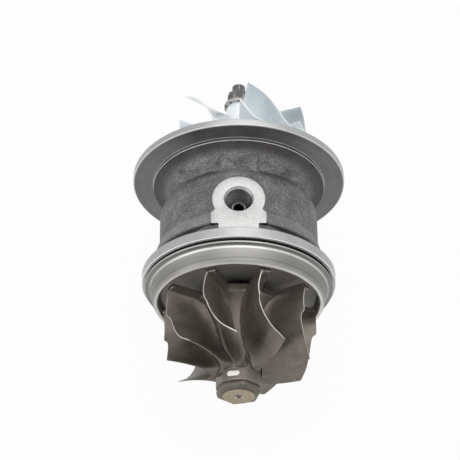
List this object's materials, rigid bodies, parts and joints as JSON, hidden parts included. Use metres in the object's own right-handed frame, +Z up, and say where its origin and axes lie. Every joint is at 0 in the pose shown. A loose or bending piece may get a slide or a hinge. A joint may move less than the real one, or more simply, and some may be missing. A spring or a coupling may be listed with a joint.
{
  "type": "turbocharger cartridge",
  "caption": "Turbocharger centre section: cast bearing housing with oil pad and disc, heat shield, bladed turbine and compressor wheels on one shaft.",
  "frame": {"origin": "on the shaft axis, in the front face of the housing's turbine-end ring", "axes": "+Y along the shaft towards the compressor, +Z up through the oil inlet, drain on -Z"},
  "size_m": [0.108, 0.1824, 0.108],
  "materials": {
    "cast_iron": "as cast grey iron with turned faces",
    "pressed_stainless": "pressed sheet",
    "ring_steel": "ground",
    "spring_steel": "oiled spring steel",
    "bearing_bronze": "turned bronze",
    "black_steel": "dark oxide",
    "seal_plate_steel": "turned",
    "seal_rubber": "moulded",
    "turbine_alloy": "as cast nickel alloy",
    "shaft_steel": "ground",
    "wheel_aluminium": "milled"
  },
  "bodies": {
    "housing": {"bearing_housing": "cast_iron", "heat_shield": "pressed_stainless", "turbine_piston_ring": "ring_steel", "bearing_retaining_rings": "spring_steel", "thrust_bearing": "bearing_bronze", "thrust_bearing_screws": "black_steel", "oil_deflector": "pressed_stainless", "seal_plate": "seal_plate_steel", "seal_plate_o_ring": "seal_rubber", "seal_plate_retaining_ring": "spring_steel", "compressor_piston_ring": "ring_steel"},
    "rotor": {"turbine_wheel": "turbine_alloy", "rotor_shaft": "shaft_steel", "thrust_ring": "shaft_steel", "thrust_collar": "shaft_steel", "flinger_sleeve": "shaft_steel", "compressor_wheel": "wheel_aluminium", "shaft_nut": "black_steel"},
    "turbine_bearing": {"turbine_bush": "bearing_bronze"},
    "compressor_bearing": {"compressor_bush": "bearing_bronze"}
  },
  "joints": [
    {"name": "rotor_spin", "type": "hinge", "parent": "housing", "child": "rotor", "pos_m": [0, 0, 0], "axis": [0, 1, 0], "continuous": true},
    {"name": "turbine_bush_spin", "type": "hinge", "parent": "housing", "child": "turbine_bearing", "pos_m": [0, 0.018, 0], "axis": [0, 1, 0], "continuous": true},
    {"name": "compressor_bush_spin", "type": "hinge", "parent": "housing", "child": "compressor_bearing", "pos_m": [0, 0.0412, 0], "axis": [0, 1, 0], "continuous": true}
  ]
}
